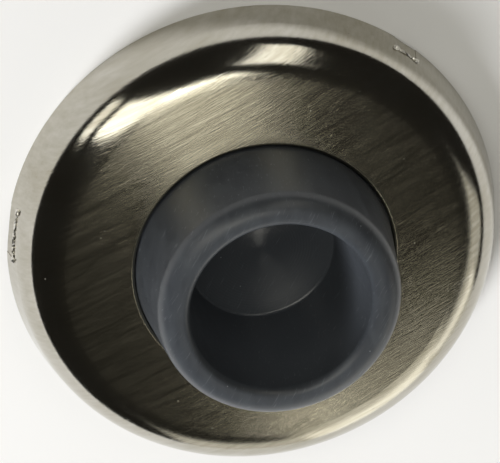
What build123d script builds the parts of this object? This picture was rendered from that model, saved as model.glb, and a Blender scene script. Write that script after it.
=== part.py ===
from build123d import *
import os
from math import acos, asin, atan2, cos, degrees, radians, sin, sqrt, tan

# Concave wall door stop: a spun metal cover, a rubber bumper in its centre hole, and a steel plate
# staked into the back of the cover, which a single screw holds to the wall.
# Millimetres. The wall is the plane z = 0, and +Z is the stop's axis, pointing out of the wall.

# Cover: drafted skirt, rounded shoulder and slightly crowned face
base_diameter = 63.5
sheet_thickness = 0.9
skirt_height = 3.75
skirt_draft = 11.4
shoulder_radius = 6.4
crown_radius = 180.0
hole_diameter = 33.5
hole_edge_radius = 0.4

# Crimps: short strips of the skirt, slit along the top and pushed in under the plate, by hand, so their
# lengths differ
crimp_angles = (51.5, 174.5, 293.0)
crimp_lengths = (3.4, 6.8, 5.0)
crimp_height = 2.2
crimp_push_top = 1.1
crimp_push_rim = 0.1
crimp_thinning = 0.1
crimp_anchor = 0.3
slit_width = 0.4
relief_diameter = 0.9

# Back plate: flat edge on the crimps, dished middle close to the wall
plate_thickness = 1.2
plate_bend_radius = 1.3
plate_edge_clearance = 0.2
plate_seat_clearance = 0.1
pad_stand_off = 0.2
pad_margin = 1.0
dish_run = 2.6
screw_hole_diameter = 5.0
countersink_depth = 0.5
countersink_angle = 82.0

# Bumper: foot on the plate, bead under the cover, tapered cup in front
projection = 22.2
neck_clearance = 0.15
bead_overlap = 1.1
bead_height = 2.4
bead_lead = 1.0
bead_clearance = 0.1
foot_inset = 0.6
foot_clearance = 0.05
base_edge_radius = 0.3
tip_inset = 1.25
lip_width = 3.6
outer_lip_radius = 2.5
inner_lip_radius = 1.1
cup_draft = 7.4
cup_corner_radius = 0.4
floor_dish = 0.7
floor_web = 1.5
pocket_diameter = 13.0
pocket_height = 2.0

# Cover profile, shared by the pieces that fit inside it
base_radius = base_diameter / 2
hole_radius = hole_diameter / 2
draft = radians(skirt_draft)
shoulder_x = base_radius - skirt_height * tan(draft) - shoulder_radius * cos(draft)
shoulder_z = skirt_height - shoulder_radius * sin(draft)
crown_z = shoulder_z - sqrt((crown_radius - shoulder_radius) ** 2 - shoulder_x**2)
shoulder_end = degrees(atan2(shoulder_z - crown_z, shoulder_x))


def crown_height(radius, inward=0.0):
    """Height of the crowned face at a radius, or of the surface that lies inward of it."""
    return crown_z + sqrt((crown_radius - inward) ** 2 - radius**2)


def inner_radius(height):
    """Radius inside the skirt and shoulder at a height."""
    bend = shoulder_radius - sheet_thickness
    if height <= shoulder_z + bend * sin(draft):
        return base_radius - height * tan(draft) - sheet_thickness / cos(draft)
    return shoulder_x + bend * cos(asin((height - shoulder_z) / bend))


# Heights and radii of the plate and the bumper
plate_bottom = crimp_height + plate_seat_clearance
plate_top = plate_bottom + plate_thickness
plate_radius = inner_radius(plate_top) - plate_edge_clearance
pad_top = pad_stand_off + plate_thickness
screw_hole_radius = screw_hole_diameter / 2

neck_radius = hole_radius - neck_clearance
bead_radius = hole_radius + bead_overlap
bead_top = crown_height(bead_radius, sheet_thickness) - bead_clearance
bead_bottom = bead_top - bead_height
neck_top = crown_height(hole_radius)
foot_radius = neck_radius - foot_inset
foot_bottom = pad_top + foot_clearance
pocket_radius = pocket_diameter / 2
pocket_top = foot_bottom + pocket_height
pad_radius = foot_radius + pad_margin
tip_radius = neck_radius - tip_inset
mouth_radius = tip_radius - lip_width
floor_edge = pocket_top + floor_web + floor_dish
floor_radius = mouth_radius - (projection - floor_edge) * tan(radians(cup_draft))


def revolved(profile):
    """Solid of revolution about the stop's axis from a face drawn as (radius, height)."""
    return revolve(Plane.XZ * profile, Axis.Z)


def rounded(profile, corners):
    """The profile with each listed corner filleted."""
    for corner, radius in corners:
        nearest = profile.vertices().sort_by_distance((*corner, 0))[0]
        profile = fillet(nearest, radius)
    return profile


def cover_line(inward):
    """Skirt, shoulder and crown of the cover from the rim to the hole, offset inwards."""
    bend = shoulder_radius - inward
    rim = (base_radius - inward / cos(draft), 0)
    skirt_top = (shoulder_x + bend * cos(draft), shoulder_z + bend * sin(draft))
    hole_angle = degrees(acos(hole_radius / (crown_radius - inward)))
    skirt = Line(rim, skirt_top)
    shoulder = CenterArc((shoulder_x, shoulder_z), bend, skirt_draft, shoulder_end - skirt_draft)
    crown = CenterArc((0, crown_z), crown_radius - inward, shoulder_end, hole_angle - shoulder_end)
    return skirt + shoulder + crown


def crimp_section(length, height, push):
    """Cross-section of a crimped strip at a height, bowed inwards by push."""
    middle = base_radius - height * tan(draft) - sheet_thickness / cos(draft) / 2
    reach = length / 2 + crimp_anchor
    end = sqrt(middle**2 - reach**2)
    half = (sheet_thickness - crimp_thinning) / 2
    along = (-reach / middle, end / middle)
    back = (reach / middle, end / middle)

    def bowed(shift):
        points = [(end + shift, -reach), (middle - push + shift, 0), (end + shift, reach)]
        return Spline(points, tangents=[back, along])

    ends = [Line((end - half, y), (end + half, y)) for y in (-reach, reach)]
    return Pos(0, 0, height) * make_face([bowed(-half), bowed(half), *ends])


def make_cover():
    outer = cover_line(0)
    inner = cover_line(sheet_thickness)
    rim = Line((base_radius, 0), (base_radius - sheet_thickness / cos(draft), 0))
    hole_wall = Line((hole_radius, crown_height(hole_radius)), (hole_radius, crown_height(hole_radius, sheet_thickness)))
    profile = make_face(outer.edges() + inner.edges() + [rim.edge(), hole_wall.edge()])
    profile = rounded(profile, [((hole_radius, neck_top), hole_edge_radius)])
    cover = revolved(profile)

    window_height = crimp_height + slit_width
    slit_middle = crimp_height + slit_width / 2
    relief = Cylinder(relief_diameter / 2, base_radius / 4, rotation=(0, 90, 0))
    for angle, length in zip(crimp_angles, crimp_lengths):
        turn = Rot(0, 0, angle)
        window = Pos(base_radius, 0, window_height / 2) * Box(base_radius / 4, length, window_height)
        foot = crimp_section(length, 0, crimp_push_rim)
        strip = loft([foot, crimp_section(length, crimp_height, crimp_push_top)])
        reliefs = [Pos(base_radius, y, slit_middle) * relief for y in (-length / 2, length / 2)]
        cover = cover - turn * window + turn * strip
        cover = cover - [turn * hole for hole in reliefs]
    return cover


def make_back_plate():
    pad_middle = pad_stand_off + plate_thickness / 2
    edge_middle = plate_bottom + plate_thickness / 2
    corners = [
        (0, pad_middle),
        (pad_radius, pad_middle),
        (pad_radius + dish_run, edge_middle),
        (plate_radius, edge_middle),
    ]
    line = FilletPolyline(*corners, radius=plate_bend_radius)
    plate = revolved(trace(line, plate_thickness))
    plate -= Pos(0, 0, pad_middle) * Cylinder(screw_hole_radius, 2 * plate_thickness)
    mouth_radius_top = screw_hole_radius + countersink_depth * tan(radians(countersink_angle / 2))
    cone = Cone(screw_hole_radius, mouth_radius_top, countersink_depth)
    plate -= Pos(0, 0, pad_top - countersink_depth / 2) * cone
    return plate


def make_bumper():
    lip_outer = (tip_radius, projection)
    lip_inner = (mouth_radius, projection)
    cup_corner = (floor_radius, floor_edge)
    bead_shoulder = (bead_radius, bead_bottom + bead_lead)
    bead_edge = (bead_radius, bead_top)
    foot_edge = (foot_radius, foot_bottom)
    outline = Polyline(
        (pocket_radius, foot_bottom),
        foot_edge,
        (foot_radius, bead_bottom),
        bead_shoulder,
        bead_edge,
        (neck_radius, bead_top),
        (neck_radius, neck_top),
        lip_outer,
        lip_inner,
        cup_corner,
        (0, floor_edge - floor_dish),
        (0, pocket_top),
        (pocket_radius, pocket_top),
        close=True,
    )
    profile = rounded(
        make_face(outline),
        [
            (lip_outer, outer_lip_radius),
            (lip_inner, inner_lip_radius),
            (cup_corner, cup_corner_radius),
            (bead_shoulder, base_edge_radius),
            (bead_edge, base_edge_radius),
            (foot_edge, base_edge_radius),
        ],
    )
    return revolved(profile)


os.makedirs("parts", exist_ok=True)
pieces = {"cover": make_cover(), "back_plate": make_back_plate(), "bumper": make_bumper()}
for name, solid in pieces.items():
    export_step(solid, f"parts/{name}.step")
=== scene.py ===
import math
import bpy
from mathutils import Matrix, Vector


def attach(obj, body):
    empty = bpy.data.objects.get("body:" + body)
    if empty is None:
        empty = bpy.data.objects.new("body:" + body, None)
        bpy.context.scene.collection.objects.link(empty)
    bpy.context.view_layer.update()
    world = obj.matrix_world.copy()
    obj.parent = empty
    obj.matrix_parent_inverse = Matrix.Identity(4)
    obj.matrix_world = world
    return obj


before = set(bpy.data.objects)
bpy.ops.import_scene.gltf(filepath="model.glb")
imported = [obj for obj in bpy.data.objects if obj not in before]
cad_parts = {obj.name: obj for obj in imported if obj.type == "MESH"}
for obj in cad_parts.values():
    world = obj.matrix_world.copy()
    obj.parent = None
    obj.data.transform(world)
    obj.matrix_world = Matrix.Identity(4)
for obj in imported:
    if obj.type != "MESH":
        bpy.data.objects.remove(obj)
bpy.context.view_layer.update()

print("frame loaded:", sorted(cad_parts))

mm = 0.001


def hexColour(code):
    # sRGB hex to the linear colour that sockets take
    parts = [int(code[k:k + 2], 16) / 255 for k in (1, 3, 5)]
    return [p / 12.92 if p <= 0.04045 else ((p + 0.055) / 1.055) ** 2.4 for p in parts] + [1.0]


def addNode(tree, kind, settings=None, links=None):
    # one node with its settings, and its inputs linked to other nodes' outputs
    node = tree.nodes.new(kind)
    for key, value in (settings or {}).items():
        if isinstance(key, str) and hasattr(node, key):
            setattr(node, key, value)
        else:
            node.inputs[key].default_value = value
    for key, output in (links or {}).items():
        tree.links.new(output, node.inputs[key])
    return node


def newMaterial(name):
    material = bpy.data.materials.new(name)
    material.use_nodes = True
    tree = material.node_tree
    tree.nodes.clear()
    shader = addNode(tree, "ShaderNodeBsdfPrincipled")
    addNode(tree, "ShaderNodeOutputMaterial", links={"Surface": shader.outputs[0]})
    return material, shader


# Camera: the photograph's view, worked out from the stop's outline and edges
photoView = {
    "pixels": (500, 463),
    "swing": -9.84,        # degrees round from the stop's axis
    "lift": 27.61,         # degrees above the stop's axis
    "distance": 801 * mm,
    "focal": 6240,         # in pixels
    "sensor": 36,          # mm
    "aim": (0.27 * mm, 0.33 * mm),
}


def addCamera(view):
    swing = math.radians(view["swing"])
    lift = math.radians(view["lift"])
    back = Vector((math.sin(swing) * math.cos(lift), math.sin(lift), math.cos(swing) * math.cos(lift)))
    right = Vector((0, 1, 0)).cross(back).normalized()
    up = back.cross(right)
    bpy.ops.object.camera_add()
    camera = bpy.context.object
    camera.name = "photoCamera"
    camera.matrix_world = Matrix((right, up, back)).transposed().to_4x4()
    camera.location = back * view["distance"] - right * view["aim"][0] - up * view["aim"][1]
    camera.data.sensor_fit = "HORIZONTAL"
    camera.data.sensor_width = view["sensor"]
    camera.data.lens = view["focal"] / view["pixels"][0] * view["sensor"]
    bpy.context.scene.camera = camera


bpy.ops.object.select_all(action="DESELECT")
addCamera(photoView)
print("camera set")

# Studio: pale floor, dark room, softboxes and a fill
studio = {
    "roomGrey": "#252421",
    "floorColour": "#f3f3f4",
    "floorRoughness": 0.9,
    "floorSize": 5.0,          # metres
    "floorDrop": 0.05 * mm,    # below the rim, so that the two don't share a plane
    "lampColour": "#fffcf0",
    "fillColour": "#ffffff",
}

# azimuth round the stop's axis and tilt from it in degrees; distance, width and length in metres
softboxes = {
    "leftStrip": {"azimuth": 147, "tilt": 32, "distance": 0.9, "size": (0.26, 0.68), "radiance": 2.8},
    "leftLow": {"azimuth": 148, "tilt": 70, "distance": 0.9, "size": (0.3, 0.24), "radiance": 1.7},
    "backStrip": {"azimuth": 72, "tilt": 50, "distance": 0.9, "size": (0.24, 0.66), "radiance": 1.7},
    "topBox": {"azimuth": -153, "tilt": 2.8, "distance": 0.9, "size": (0.46, 0.19), "radiance": 1.45},
    "arcBox": {"azimuth": 100, "tilt": 10, "distance": 0.9, "size": (0.22, 0.16), "radiance": 3.2},
    "frontBox": {"azimuth": -64.5, "tilt": 69.5, "distance": 0.9, "size": (0.33, 0.74), "radiance": 0.87},
    "middleBox": {"azimuth": -75, "tilt": 36.5, "distance": 0.9, "size": (0.06, 0.08), "radiance": 6.5},
    "rimStrip": {"azimuth": -66, "tilt": 78, "distance": 0.9, "size": (1.0, 0.38), "radiance": 0.8},
    "rightBox": {"azimuth": -34, "tilt": 68, "distance": 0.9, "size": (0.6, 0.4), "radiance": 0.65},
    "fill": {"azimuth": 230, "tilt": 56, "distance": 1.4, "size": (0.5, 0.5), "radiance": 28.0},
}


def addSoftbox(name, box, colour):
    turn = math.radians(box["azimuth"])
    tilt = math.radians(box["tilt"])
    width, length = box["size"]
    away = Vector((math.sin(tilt) * math.cos(turn), math.sin(tilt) * math.sin(turn), math.cos(tilt)))
    bpy.ops.object.light_add(type="AREA", location=away * box["distance"])
    lamp = bpy.context.object
    lamp.name = name
    lamp.rotation_euler = away.to_track_quat("Z", "Y").to_euler()
    lamp.data.shape = "RECTANGLE"
    lamp.data.size = width
    lamp.data.size_y = length
    lamp.data.energy = box["radiance"] * math.pi * width * length  # watts
    lamp.data.color = hexColour(colour)[:3]
    lamp.visible_camera = False
    return lamp


def addFloor():
    bpy.ops.mesh.primitive_plane_add(size=studio["floorSize"], location=(0, 0, -studio["floorDrop"]))
    bpy.ops.object.transform_apply(location=True)
    floor = bpy.context.object
    floor.name = "floor"
    material, shader = newMaterial("paintedFloor")  # matt emulsion, so it has no gloss at all
    shader.inputs["Base Color"].default_value = hexColour(studio["floorColour"])
    shader.inputs["Roughness"].default_value = studio["floorRoughness"]
    shader.inputs["Specular IOR Level"].default_value = 0.0
    floor.data.materials.append(material)


def addStudio():
    scene = bpy.context.scene
    scene.view_settings.view_transform = "Standard"
    world = bpy.data.worlds.new("darkRoom")
    world.use_nodes = True
    world.node_tree.nodes["Background"].inputs["Color"].default_value = hexColour(studio["roomGrey"])
    scene.world = world
    addFloor()
    for name, box in softboxes.items():
        isFill = name == "fill"
        lamp = addSoftbox(name, box, studio["fillColour"] if isFill else studio["lampColour"])
        lamp.visible_glossy = not isFill  # the metal doesn't mirror the fill, which is for floor and rubber


addStudio()
print("studio set")


# Cover: brass, nickel plated in an antique tone and brushed one way by hand, so its reflections are soft
# and broken into short hair lines. The shoulder and skirt were buffed after, and mirror more clearly.
coverFinish = {
    "plate": "#c3c0b7",
    "brushed": "#bcb7a6",
    "patina": "#a09a88",
    "faceRoughness": 0.2,
    "sideRoughness": 0.11,
    "roughnessRange": (0.8, 1.2),  # times those two, over the bands
    "faceEdge": (24.4, 28.0),      # mm from the axis, where the brushing fades out
    "brushTurns": (23, 27, 32),    # degrees from +X
    "brushLine": 0.16,             # mm across a brush line; real grit is finer, drawn so that it shows
    "brushRun": 4.0,               # mm along it
    "brushDetail": 2.0,
    "deepLines": (0.62, 0.8),      # noise levels where a line starts to cut deeper, and is deepest
    "deepCut": -0.6,               # times the depth of the rest
    "brushDepth": 0.012,           # mm
    "sideDepth": 0.55,             # share of it that is left on the shoulder
    "stretch": 0.5,                # how far the lines draw a reflection out across them
    "bandLine": 0.5,               # mm across a band where the brush bit harder
    "bandRun": 9.0,                # mm along it
    "bandDetail": 3.0,
    "bandRange": (0.3, 0.7),       # noise levels
    "patch": 9.0,                  # mm across a worn patch
    "patchDetail": 4.0,
    "bandShare": 0.45,             # of the bands in the wear, against the patches
    "wornRange": (0.38, 0.68),     # noise levels where the wear starts, and is full
    "worn": 0.7,
    "dust": "#b8b5aa",
    "dustSpot": 0.2,               # mm across
    "dustSpacing": 2.6,            # mm
    "dustCore": 0.4,               # share of a speck's radius that is solid
    "dustCover": 0.6,
}


def grainNoise(tree, place, turn, line, run, detail, rise=0.3, roughness=0.6):
    # noise drawn out along one direction in the plane of the face, and a little along the stop's axis
    turned = addNode(tree, "ShaderNodeMapping", {"Rotation": (0, 0, -math.radians(turn))},
                     {"Vector": place})
    scale = (1 / (run * mm), 1 / (line * mm), rise / (line * mm))
    drawn = addNode(tree, "ShaderNodeMapping", {"Scale": scale, "Location": (turn, turn, 0)},
                    {"Vector": turned.outputs[0]})
    noise = addNode(tree, "ShaderNodeTexNoise", {"Scale": 1.0, "Detail": detail, "Roughness": roughness},
                    {"Vector": drawn.outputs[0]})
    return noise.outputs["Fac"]


def makeNickel(finish):
    material, shader = newMaterial("brushedNickelPlate")
    tree = material.node_tree
    coords = addNode(tree, "ShaderNodeTexCoord")
    place = coords.outputs["Object"]
    flat = addNode(tree, "ShaderNodeVectorMath", {"operation": "MULTIPLY", 1: (1, 1, 0)}, {0: place})
    radius = addNode(tree, "ShaderNodeVectorMath", {"operation": "LENGTH"}, {0: flat.outputs[0]})
    start, end = finish["faceEdge"]
    face = addNode(tree, "ShaderNodeMapRange",
                   {"interpolation_type": "SMOOTHSTEP", "From Min": start * mm, "From Max": end * mm,
                    "To Min": 1.0, "To Max": 0.0}, {"Value": radius.outputs["Value"]})

    # hair lines in a few close directions, some of them cut deeper, and the broader bands among them
    height = None
    start, end = finish["deepLines"]
    for turn in finish["brushTurns"]:
        lines = grainNoise(tree, place, turn, finish["brushLine"], finish["brushRun"], finish["brushDetail"])
        cut = addNode(tree, "ShaderNodeMapRange",
                      {"From Min": start, "From Max": end, "To Max": finish["deepCut"]}, {"Value": lines})
        both = addNode(tree, "ShaderNodeMath", {"operation": "ADD"},
                       {0: lines, 1: cut.outputs[0]}).outputs[0]
        if height is not None:
            both = addNode(tree, "ShaderNodeMath", {"operation": "ADD"}, {0: height, 1: both}).outputs[0]
        height = both
    middleTurn = finish["brushTurns"][1]
    bands = grainNoise(tree, place, middleTurn, finish["bandLine"], finish["bandRun"], finish["bandDetail"])

    # worn patches of the plating, darker in the bands
    patches = addNode(tree, "ShaderNodeTexNoise",
                      {"Scale": 1 / (finish["patch"] * mm), "Detail": finish["patchDetail"]},
                      {"Vector": place})
    mixed = addNode(tree, "ShaderNodeMix", {"data_type": "FLOAT", 0: finish["bandShare"]},
                    {2: patches.outputs["Fac"], 3: bands})
    start, end = finish["wornRange"]
    worn = addNode(tree, "ShaderNodeMapRange",
                   {"From Min": start, "From Max": end, "To Max": finish["worn"]},
                   {"Value": mixed.outputs[0]})
    clean = addNode(tree, "ShaderNodeMix",
                    {"data_type": "RGBA", 6: hexColour(finish["plate"]), 7: hexColour(finish["brushed"])},
                    {0: face.outputs[0]})
    tone = addNode(tree, "ShaderNodeMix", {"data_type": "RGBA", 7: hexColour(finish["patina"])},
                   {0: worn.outputs[0], 6: clean.outputs[2]})

    # dust specks, a few to the square centimetre
    cells = addNode(tree, "ShaderNodeTexVoronoi", {"Scale": 1 / (finish["dustSpacing"] * mm)},
                    {"Vector": place})
    spot = finish["dustSpot"] / finish["dustSpacing"] / 2
    dust = addNode(tree, "ShaderNodeMapRange",
                   {"From Min": spot * finish["dustCore"], "From Max": spot,
                    "To Min": finish["dustCover"], "To Max": 0.0}, {"Value": cells.outputs["Distance"]})
    dusty = addNode(tree, "ShaderNodeMix", {"data_type": "RGBA", 7: hexColour(finish["dust"])},
                    {0: dust.outputs[0], 6: tone.outputs[2]})
    metal = addNode(tree, "ShaderNodeMath", {"operation": "SUBTRACT", 0: 1.0}, {1: dust.outputs[0]})

    base = addNode(tree, "ShaderNodeMapRange",
                   {"To Min": finish["sideRoughness"], "To Max": finish["faceRoughness"]},
                   {"Value": face.outputs[0]})
    start, end = finish["bandRange"]
    low, high = finish["roughnessRange"]
    vary = addNode(tree, "ShaderNodeMapRange",
                   {"From Min": start, "From Max": end, "To Min": low, "To Max": high}, {"Value": bands})
    rough = addNode(tree, "ShaderNodeMath", {"operation": "MULTIPLY"},
                    {0: base.outputs[0], 1: vary.outputs[0]})

    depth = addNode(tree, "ShaderNodeMapRange", {"To Min": finish["sideDepth"], "To Max": 1.0},
                    {"Value": face.outputs[0]})
    bump = addNode(tree, "ShaderNodeBump", {"Distance": finish["brushDepth"] * mm},
                   {"Strength": depth.outputs[0], "Height": height})
    across = math.radians(middleTurn + 90)
    tangent = addNode(tree, "ShaderNodeCombineXYZ", {"X": math.cos(across), "Y": math.sin(across)})
    shader.inputs["Anisotropic"].default_value = finish["stretch"]
    tree.links.new(tangent.outputs[0], shader.inputs["Tangent"])
    tree.links.new(metal.outputs[0], shader.inputs["Metallic"])
    tree.links.new(dusty.outputs[2], shader.inputs["Base Color"])
    tree.links.new(rough.outputs[0], shader.inputs["Roughness"])
    tree.links.new(bump.outputs[0], shader.inputs["Normal"])
    return material


def setMaterial(node, material):
    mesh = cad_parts[node].data
    if not mesh.materials:
        mesh.materials.append(material)
    for k in range(len(mesh.materials)):
        mesh.materials[k] = material


setMaterial("cover", makeNickel(coverFinish))
print("cover finished")

# Crimp burrs: the ragged edge that the lancing tool left along each slit in the skirt, with a lump at each
# of its relief holes. The tool smeared and burnished the nickel over it, so it is bright, with small facets.
burrShape = {
    "crimps": ((51.5, 3.4), (174.5, 6.8), (293.0, 5.0)),  # degrees round the axis, length in mm
    "skirt": (31.75, 11.4),    # mm at the rim, degrees of draft
    "height": 2.44,            # mm above the wall
    "band": 0.46,              # mm across the burr
    "thick": 0.34,             # mm through it
    "sides": 8,
    "step": 0.24,              # mm between its facets
    "ragged": 0.1,             # mm
    "lump": 0.5,               # mm, radius over the relief holes
    "lumpRounds": 2,           # subdivisions
    "lumpFlat": 0.8,           # against the burr's own flatness
    "weld": 0.005,             # mm
    "burnished": "#f0eee8",
    "smear": "#d2cfc6",
    "roughness": (0.22, 0.45),
    "grit": 0.3,               # mm
    "gritDetail": 3.0,
    "gritDepth": 0.05,         # mm
    "gritStrength": 0.4,
}


def makeSmearedPlate(shape):
    material, shader = newMaterial("smearedNickelPlate")
    tree = material.node_tree
    coords = addNode(tree, "ShaderNodeTexCoord")
    noise = addNode(tree, "ShaderNodeTexNoise",
                    {"Scale": 1 / (shape["grit"] * mm), "Detail": shape["gritDetail"]},
                    {"Vector": coords.outputs["Object"]})
    grit = noise.outputs["Fac"]
    tone = addNode(tree, "ShaderNodeMix",
                   {"data_type": "RGBA", 6: hexColour(shape["burnished"]), 7: hexColour(shape["smear"])},
                   {0: grit})
    low, high = shape["roughness"]
    rough = addNode(tree, "ShaderNodeMapRange", {"To Min": low, "To Max": high}, {"Value": grit})
    bump = addNode(tree, "ShaderNodeBump",
                   {"Strength": shape["gritStrength"], "Distance": shape["gritDepth"] * mm},
                   {"Height": grit})
    shader.inputs["Metallic"].default_value = 1.0
    tree.links.new(tone.outputs[2], shader.inputs["Base Color"])
    tree.links.new(rough.outputs[0], shader.inputs["Roughness"])
    tree.links.new(bump.outputs[0], shader.inputs["Normal"])
    return material


def addBurr(number, azimuth, length, shape, material):
    rim, draft = shape["skirt"]
    radius = (rim - shape["height"] * math.tan(math.radians(draft))) * mm
    height = shape["height"] * mm
    flatness = shape["thick"] / shape["band"]
    sweep = length * mm / radius

    # round section beside the slit, flattened and spun along it
    bpy.ops.object.select_all(action="DESELECT")
    bpy.ops.mesh.primitive_circle_add(vertices=shape["sides"], radius=shape["band"] * mm / 2,
                                      fill_type="NGON", location=(radius, 0, height),
                                      rotation=(math.pi / 2, 0, 0))
    burr = bpy.context.object
    burr.name = f"crimp_burr_{number}"
    burr.scale[0] = flatness
    bpy.ops.object.transform_apply(location=True, rotation=True, scale=True)
    bpy.ops.object.mode_set(mode="EDIT")
    bpy.ops.mesh.select_all(action="SELECT")
    bpy.ops.mesh.spin(steps=round(length / shape["step"]), angle=sweep, center=(0, 0, 0), axis=(0, 0, 1))
    bpy.ops.object.mode_set(mode="OBJECT")
    burr.rotation_euler[2] = math.radians(azimuth) + sweep / 2  # the spin goes round clockwise
    bpy.ops.object.transform_apply(rotation=True)

    # a lump over each relief hole, flat against the skirt
    for side in (-1, 1):
        turn = math.radians(azimuth) + side * sweep / 2
        spot = (radius * math.cos(turn), radius * math.sin(turn), height)
        bpy.ops.object.select_all(action="DESELECT")
        bpy.ops.mesh.primitive_ico_sphere_add(subdivisions=shape["lumpRounds"], radius=shape["lump"] * mm,
                                              rotation=(0, 0, turn), location=spot)
        lump = bpy.context.object
        lump.scale[0] = flatness * shape["lumpFlat"]
        bpy.ops.object.transform_apply(location=True, rotation=True, scale=True)
        burr.select_set(True)
        bpy.context.view_layer.objects.active = burr
        bpy.ops.object.join()

    bpy.ops.object.mode_set(mode="EDIT")
    bpy.ops.mesh.select_all(action="SELECT")
    bpy.ops.mesh.remove_doubles(threshold=shape["weld"] * mm)
    bpy.ops.mesh.normals_make_consistent(inside=False)
    bpy.ops.transform.vertex_random(offset=shape["ragged"] * mm, uniform=1.0, normal=0.0, seed=number)
    bpy.ops.object.mode_set(mode="OBJECT")
    burr.data.materials.clear()
    burr.data.materials.append(material)
    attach(burr, "root")


smearedPlate = makeSmearedPlate(burrShape)
for number, (azimuth, length) in enumerate(burrShape["crimps"], 1):
    addBurr(number, azimuth, length, burrShape, smearedPlate)
print("crimp burrs added")

# Bumper: moulded grey rubber with a thin satin skin. Wiping left faint swirls and some dust. Inside the cup
# the colour is
# painted paler: painted light, standing in for light that barely reaches the recess. The mould's floor was
# turned and polished on a lathe, so the cup's floor is shinier, with fine rings that draw a highlight out
# from its middle.
bumperFinish = {
    "rubber": "#393c41",
    "bloom": "#404449",
    # paler colour inside the cup: painted light in the recess, where the lamps barely reach
    "cupPaintedLight": "#484c52",
    "cupPaintedLightEdge": (11.0, 12.2),   # mm from the axis, where that painted light ends
    "roughness": (0.33, 0.42),
    "skinWeight": 0.04,
    "skinRoughness": 0.2,
    "swirl": (1.6, 5.0, 3.0),  # mm
    "swirlDetail": 4.0,
    "swirlRoughness": 0.55,
    "swirlBend": 0.6,
    "grain": 0.24,             # mm, mould texture; the real one is finer, drawn so that it shows
    "grainDetail": 2.0,
    "grainShare": 0.12,        # of the grain in the colour, against the swirls
    "grainDepth": 0.0045,      # mm
    "bloomRange": (0.35, 0.65),  # noise levels where the bloom starts, and is full
    "scuff": "#70747a",
    "scuffTurn": 62,           # degrees from +X
    "scuffLine": 0.22,         # mm across a scuff
    "scuffRun": 2.6,           # mm along it
    "scuffDetail": 2.0,
    "scuffRange": (0.62, 0.8),  # noise levels where a scuff starts, and is full
    "scuffCover": 0.6,
    "dust": "#9a9da0",
    "dustSpot": 0.2,           # mm across
    "dustSpacing": 2.8,        # mm
    "dustCore": 0.5,           # share of a speck's radius that is solid
    "dustCover": 0.7,
    "floorEdge": (9.2, 9.7),   # mm from the axis, where the cup's floor ends
    "floorPolish": 0.35,       # share of the roughness there
    "ringSpacing": 0.36,       # mm; real tool marks are finer, drawn so that they show
    "ringDepth": 0.0035,       # mm
}


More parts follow.
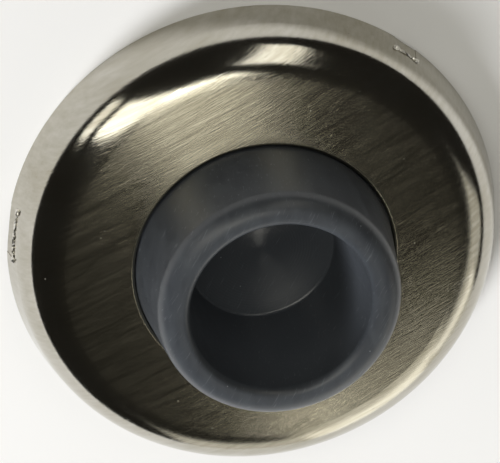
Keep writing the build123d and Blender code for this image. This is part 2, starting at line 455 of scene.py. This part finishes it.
def makeRubber(finish):
    material, shader = newMaterial("mouldedGreyRubber")
    tree = material.node_tree
    coords = addNode(tree, "ShaderNodeTexCoord")
    place = coords.outputs["Object"]
    flat = addNode(tree, "ShaderNodeVectorMath", {"operation": "MULTIPLY", 1: (1, 1, 0)}, {0: place})
    radius = addNode(tree, "ShaderNodeVectorMath", {"operation": "LENGTH"}, {0: flat.outputs[0]})

    # swirls that wiping left, and the fine grain of the mould
    drawn = addNode(tree, "ShaderNodeMapping", {"Scale": [1 / (size * mm) for size in finish["swirl"]]},
                    {"Vector": place})
    swirl = addNode(tree, "ShaderNodeTexNoise",
                    {"Scale": 1.0, "Detail": finish["swirlDetail"], "Roughness": finish["swirlRoughness"],
                     "Distortion": finish["swirlBend"]}, {"Vector": drawn.outputs[0]})
    grain = addNode(tree, "ShaderNodeTexNoise",
                    {"Scale": 1 / (finish["grain"] * mm), "Detail": finish["grainDetail"]},
                    {"Vector": place})
    mottle = addNode(tree, "ShaderNodeMix", {"data_type": "FLOAT", 0: finish["grainShare"]},
                     {2: swirl.outputs["Fac"], 3: grain.outputs["Fac"]})
    start, end = finish["bloomRange"]
    bloom = addNode(tree, "ShaderNodeMapRange", {"From Min": start, "From Max": end},
                    {"Value": mottle.outputs[0]})
    tone = addNode(tree, "ShaderNodeMix",
                   {"data_type": "RGBA", 6: hexColour(finish["rubber"]), 7: hexColour(finish["bloom"])},
                   {0: bloom.outputs[0]})
    # painted light: a paler colour inside the cup, fading out towards its mouth
    start, end = finish["cupPaintedLightEdge"]
    cupPaintedLightMask = addNode(tree, "ShaderNodeMapRange",
                    {"From Min": start * mm, "From Max": end * mm, "To Min": 1.0, "To Max": 0.0},
                    {"Value": radius.outputs["Value"]})
    tone = addNode(tree, "ShaderNodeMix", {"data_type": "RGBA", 7: hexColour(finish["cupPaintedLight"])},
                   {0: cupPaintedLightMask.outputs[0], 6: tone.outputs[2]})

    # satin where the mould was plain, shinier on the cup's floor
    low, high = finish["roughness"]
    satin = addNode(tree, "ShaderNodeMapRange", {"To Min": low, "To Max": high},
                    {"Value": bloom.outputs[0]})
    floorStart, floorEnd = finish["floorEdge"]
    polish = addNode(tree, "ShaderNodeMapRange",
                     {"From Min": floorStart * mm, "From Max": floorEnd * mm,
                      "To Min": finish["floorPolish"], "To Max": 1.0}, {"Value": radius.outputs["Value"]})
    rough = addNode(tree, "ShaderNodeMath", {"operation": "MULTIPLY"},
                    {0: satin.outputs[0], 1: polish.outputs[0]})

    # pale scuffs from handling, and dust specks
    lines = grainNoise(tree, place, finish["scuffTurn"], finish["scuffLine"], finish["scuffRun"],
                       finish["scuffDetail"])
    start, end = finish["scuffRange"]
    rubbed = addNode(tree, "ShaderNodeMapRange",
                     {"From Min": start, "From Max": end, "To Max": finish["scuffCover"]},
                     {"Value": lines})
    tone = addNode(tree, "ShaderNodeMix", {"data_type": "RGBA", 7: hexColour(finish["scuff"])},
                   {0: rubbed.outputs[0], 6: tone.outputs[2]})
    cells = addNode(tree, "ShaderNodeTexVoronoi", {"Scale": 1 / (finish["dustSpacing"] * mm)},
                    {"Vector": place})
    spot = finish["dustSpot"] / finish["dustSpacing"] / 2
    dust = addNode(tree, "ShaderNodeMapRange",
                   {"From Min": spot * finish["dustCore"], "From Max": spot,
                    "To Min": finish["dustCover"], "To Max": 0.0}, {"Value": cells.outputs["Distance"]})
    dusty = addNode(tree, "ShaderNodeMix", {"data_type": "RGBA", 7: hexColour(finish["dust"])},
                    {0: dust.outputs[0], 6: tone.outputs[2]})

    # turned rings on the cup's floor
    phase = addNode(tree, "ShaderNodeMath",
                    {"operation": "MULTIPLY", 1: 2 * math.pi / (finish["ringSpacing"] * mm)},
                    {0: radius.outputs["Value"]})
    wave = addNode(tree, "ShaderNodeMath", {"operation": "SINE"}, {0: phase.outputs[0]})
    onFloor = addNode(tree, "ShaderNodeMapRange",
                      {"From Min": floorStart * mm, "From Max": floorEnd * mm,
                       "To Min": finish["ringDepth"], "To Max": 0.0}, {"Value": radius.outputs["Value"]})
    rings = addNode(tree, "ShaderNodeMath", {"operation": "MULTIPLY"},
                    {0: wave.outputs[0], 1: onFloor.outputs[0]})
    height = addNode(tree, "ShaderNodeMath", {"operation": "MULTIPLY_ADD", 1: finish["grainDepth"]},
                     {0: grain.outputs["Fac"], 2: rings.outputs[0]})
    bump = addNode(tree, "ShaderNodeBump", {"Strength": 1.0, "Distance": mm},
                   {"Height": height.outputs[0]})
    shader.inputs["Coat Weight"].default_value = finish["skinWeight"]
    shader.inputs["Coat Roughness"].default_value = finish["skinRoughness"]
    tree.links.new(dusty.outputs[2], shader.inputs["Base Color"])
    tree.links.new(rough.outputs[0], shader.inputs["Roughness"])
    tree.links.new(bump.outputs[0], shader.inputs["Normal"])
    return material


setMaterial("bumper", makeRubber(bumperFinish))
print("bumper finished")

# Back plate: pressed from cold-rolled steel sheet, whose rolling lines show through its bright zinc plate,
# and clouded where the plating dulled
plateFinish = {
    "zinc": "#b9bdc2",
    "dull": "#9aa0a6",
    "roughness": (0.25, 0.42),
    "cloud": 5.0,              # mm
    "cloudDetail": 5.0,
    "rollLine": 0.25,          # mm across a rolling line; real ones are finer, drawn so that they show
    "rollRun": 16.0,           # mm along it
    "rollDetail": 2.0,
    "rollTurn": 8,             # degrees from +X
    "rollShare": 0.4,          # of the lines in the dulling, against the clouds
    "rollDepth": 0.006,        # mm
    "dullRange": (0.35, 0.65),  # noise levels where the dulling starts, and is full
}


def makeZinc(finish):
    material, shader = newMaterial("zincPlatedSteel")
    tree = material.node_tree
    coords = addNode(tree, "ShaderNodeTexCoord")
    place = coords.outputs["Object"]
    rolled = grainNoise(tree, place, finish["rollTurn"], finish["rollLine"], finish["rollRun"],
                        finish["rollDetail"])
    cloud = addNode(tree, "ShaderNodeTexNoise",
                    {"Scale": 1 / (finish["cloud"] * mm), "Detail": finish["cloudDetail"]},
                    {"Vector": place})
    mixed = addNode(tree, "ShaderNodeMix", {"data_type": "FLOAT", 0: finish["rollShare"]},
                    {2: cloud.outputs["Fac"], 3: rolled})
    start, end = finish["dullRange"]
    dulled = addNode(tree, "ShaderNodeMapRange", {"From Min": start, "From Max": end},
                     {"Value": mixed.outputs[0]})
    tone = addNode(tree, "ShaderNodeMix",
                   {"data_type": "RGBA", 6: hexColour(finish["zinc"]), 7: hexColour(finish["dull"])},
                   {0: dulled.outputs[0]})
    low, high = finish["roughness"]
    rough = addNode(tree, "ShaderNodeMapRange", {"To Min": low, "To Max": high},
                    {"Value": dulled.outputs[0]})
    bump = addNode(tree, "ShaderNodeBump", {"Strength": 1.0, "Distance": finish["rollDepth"] * mm},
                   {"Height": rolled})
    shader.inputs["Metallic"].default_value = 1.0
    tree.links.new(tone.outputs[2], shader.inputs["Base Color"])
    tree.links.new(rough.outputs[0], shader.inputs["Roughness"])
    tree.links.new(bump.outputs[0], shader.inputs["Normal"])
    return material


setMaterial("back_plate", makeZinc(plateFinish))
print("back plate finished")
